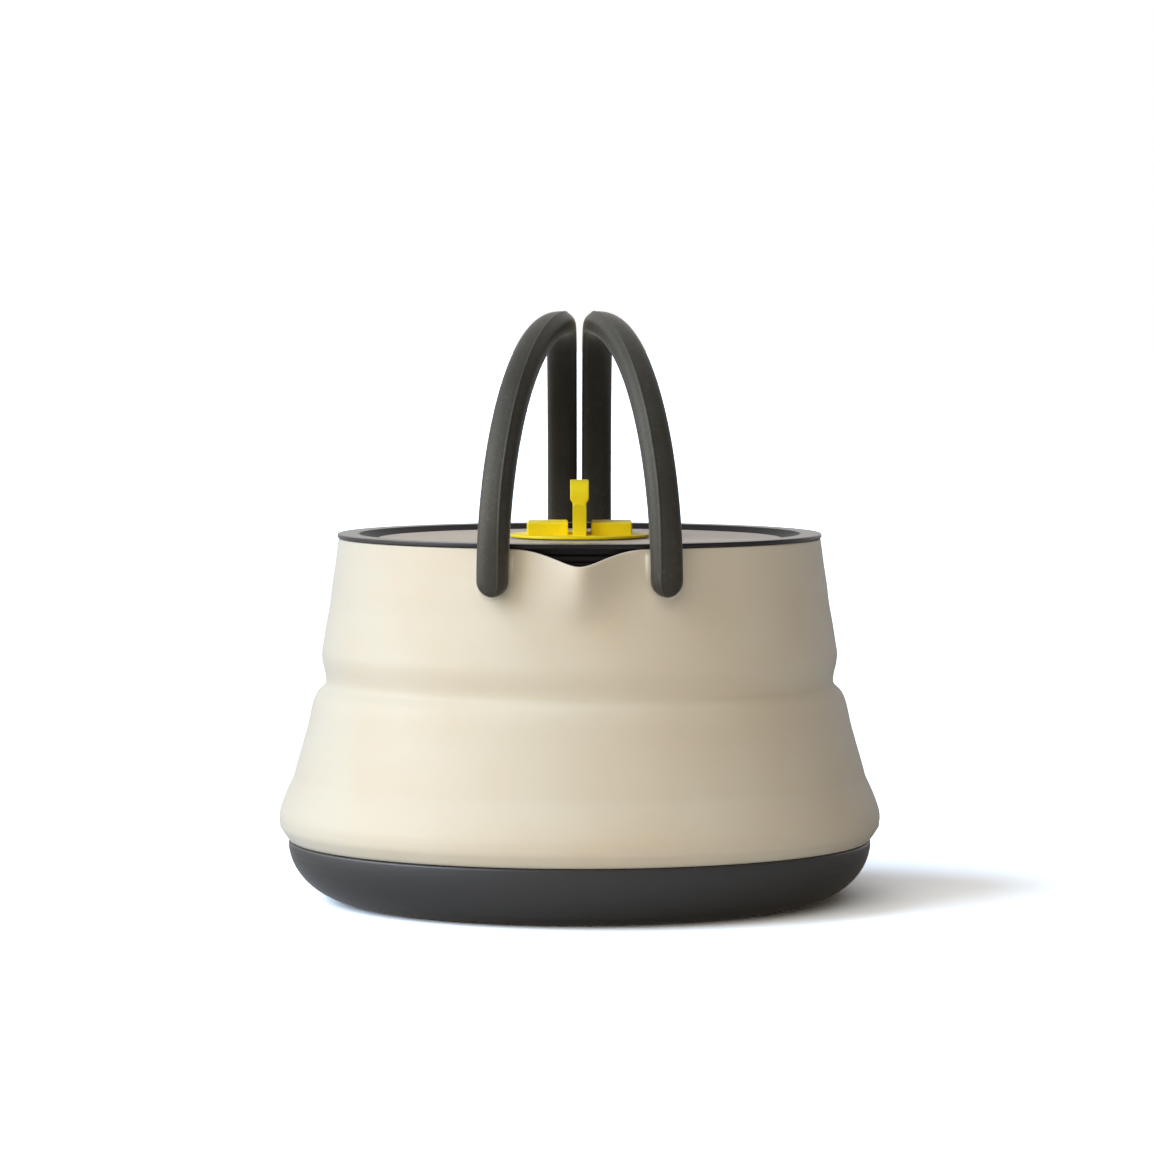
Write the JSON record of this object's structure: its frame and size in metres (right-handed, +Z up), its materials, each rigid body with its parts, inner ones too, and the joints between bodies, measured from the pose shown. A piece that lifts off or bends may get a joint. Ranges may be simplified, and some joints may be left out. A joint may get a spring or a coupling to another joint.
{
  "type": "collapsible kettle",
  "caption": "Collapsible camping kettle: metal pan base, folding silicone wall with a pouring spout, dished lid with a flip-up tab, and raised half-arch handles.",
  "frame": {"origin": "centre of the kettle's footprint, on the surface it stands on", "axes": "+Z up along the kettle's axis; -Y towards the spout; +X to the right as seen from the spout's side"},
  "size_m": [0.1584, 0.1584, 0.1553],
  "materials": {
    "anodised": "hard anodised, dark grey, satin",
    "silicone": "smooth matt silicone",
    "nylon": "glass-filled nylon, fine matt texture",
    "smoke_lid": "polished smoke grey",
    "seal": "smooth",
    "yellow": "satin yellow nylon",
    "steel": "stainless steel"
  },
  "bodies": {
    "base": {"base_pan": "anodised", "bead_hoop": "steel", "wall_foot": "silicone", "wall_fold": "silicone"},
    "rim": {"wall_upper": "silicone", "rim_ring": "nylon", "bush_front_left": "steel", "bush_front_right": "steel", "bush_rear_left": "steel", "bush_rear_right": "steel"},
    "lid": {"lid_shell": "smoke_lid", "lid_seal": "seal", "knob_base": "yellow", "knob_washer": "steel", "knob_clip": "steel", "tab_pin": "steel"},
    "tab": {"lid_tab": "yellow"},
    "left_handle": {"handle_left": "nylon", "pin_front_left": "steel", "pin_rear_left": "steel"},
    "right_handle": {"handle_right": "nylon", "pin_front_right": "steel", "pin_rear_right": "steel"}
  },
  "joints": [
    {"name": "collapse", "type": "slide", "parent": "base", "child": "rim", "axis": [0, 0, 1], "range_m": [-0.05, 0], "deforming": ["wall_fold"]},
    {"name": "lid_lift", "type": "slide", "parent": "rim", "child": "lid", "axis": [0, 0, 1], "range_m": [0, 0.003]},
    {"name": "tab_flip", "type": "hinge", "parent": "lid", "child": "tab", "pos_m": [0, 0, 0.10255], "axis": [0, 1, 0], "range_deg": [-90, 90]},
    {"name": "left_handle_fold", "type": "hinge", "parent": "rim", "child": "left_handle", "pos_m": [-0.0215, -0.06224, 0.0877], "axis": [-0.1271, -0.9919, 0], "range_deg": [0, 90]},
    {"name": "right_handle_fold", "type": "hinge", "parent": "rim", "child": "right_handle", "pos_m": [0.0215, -0.06224, 0.0877], "axis": [-0.1271, 0.9919, 0], "range_deg": [0, 90]}
  ]
}
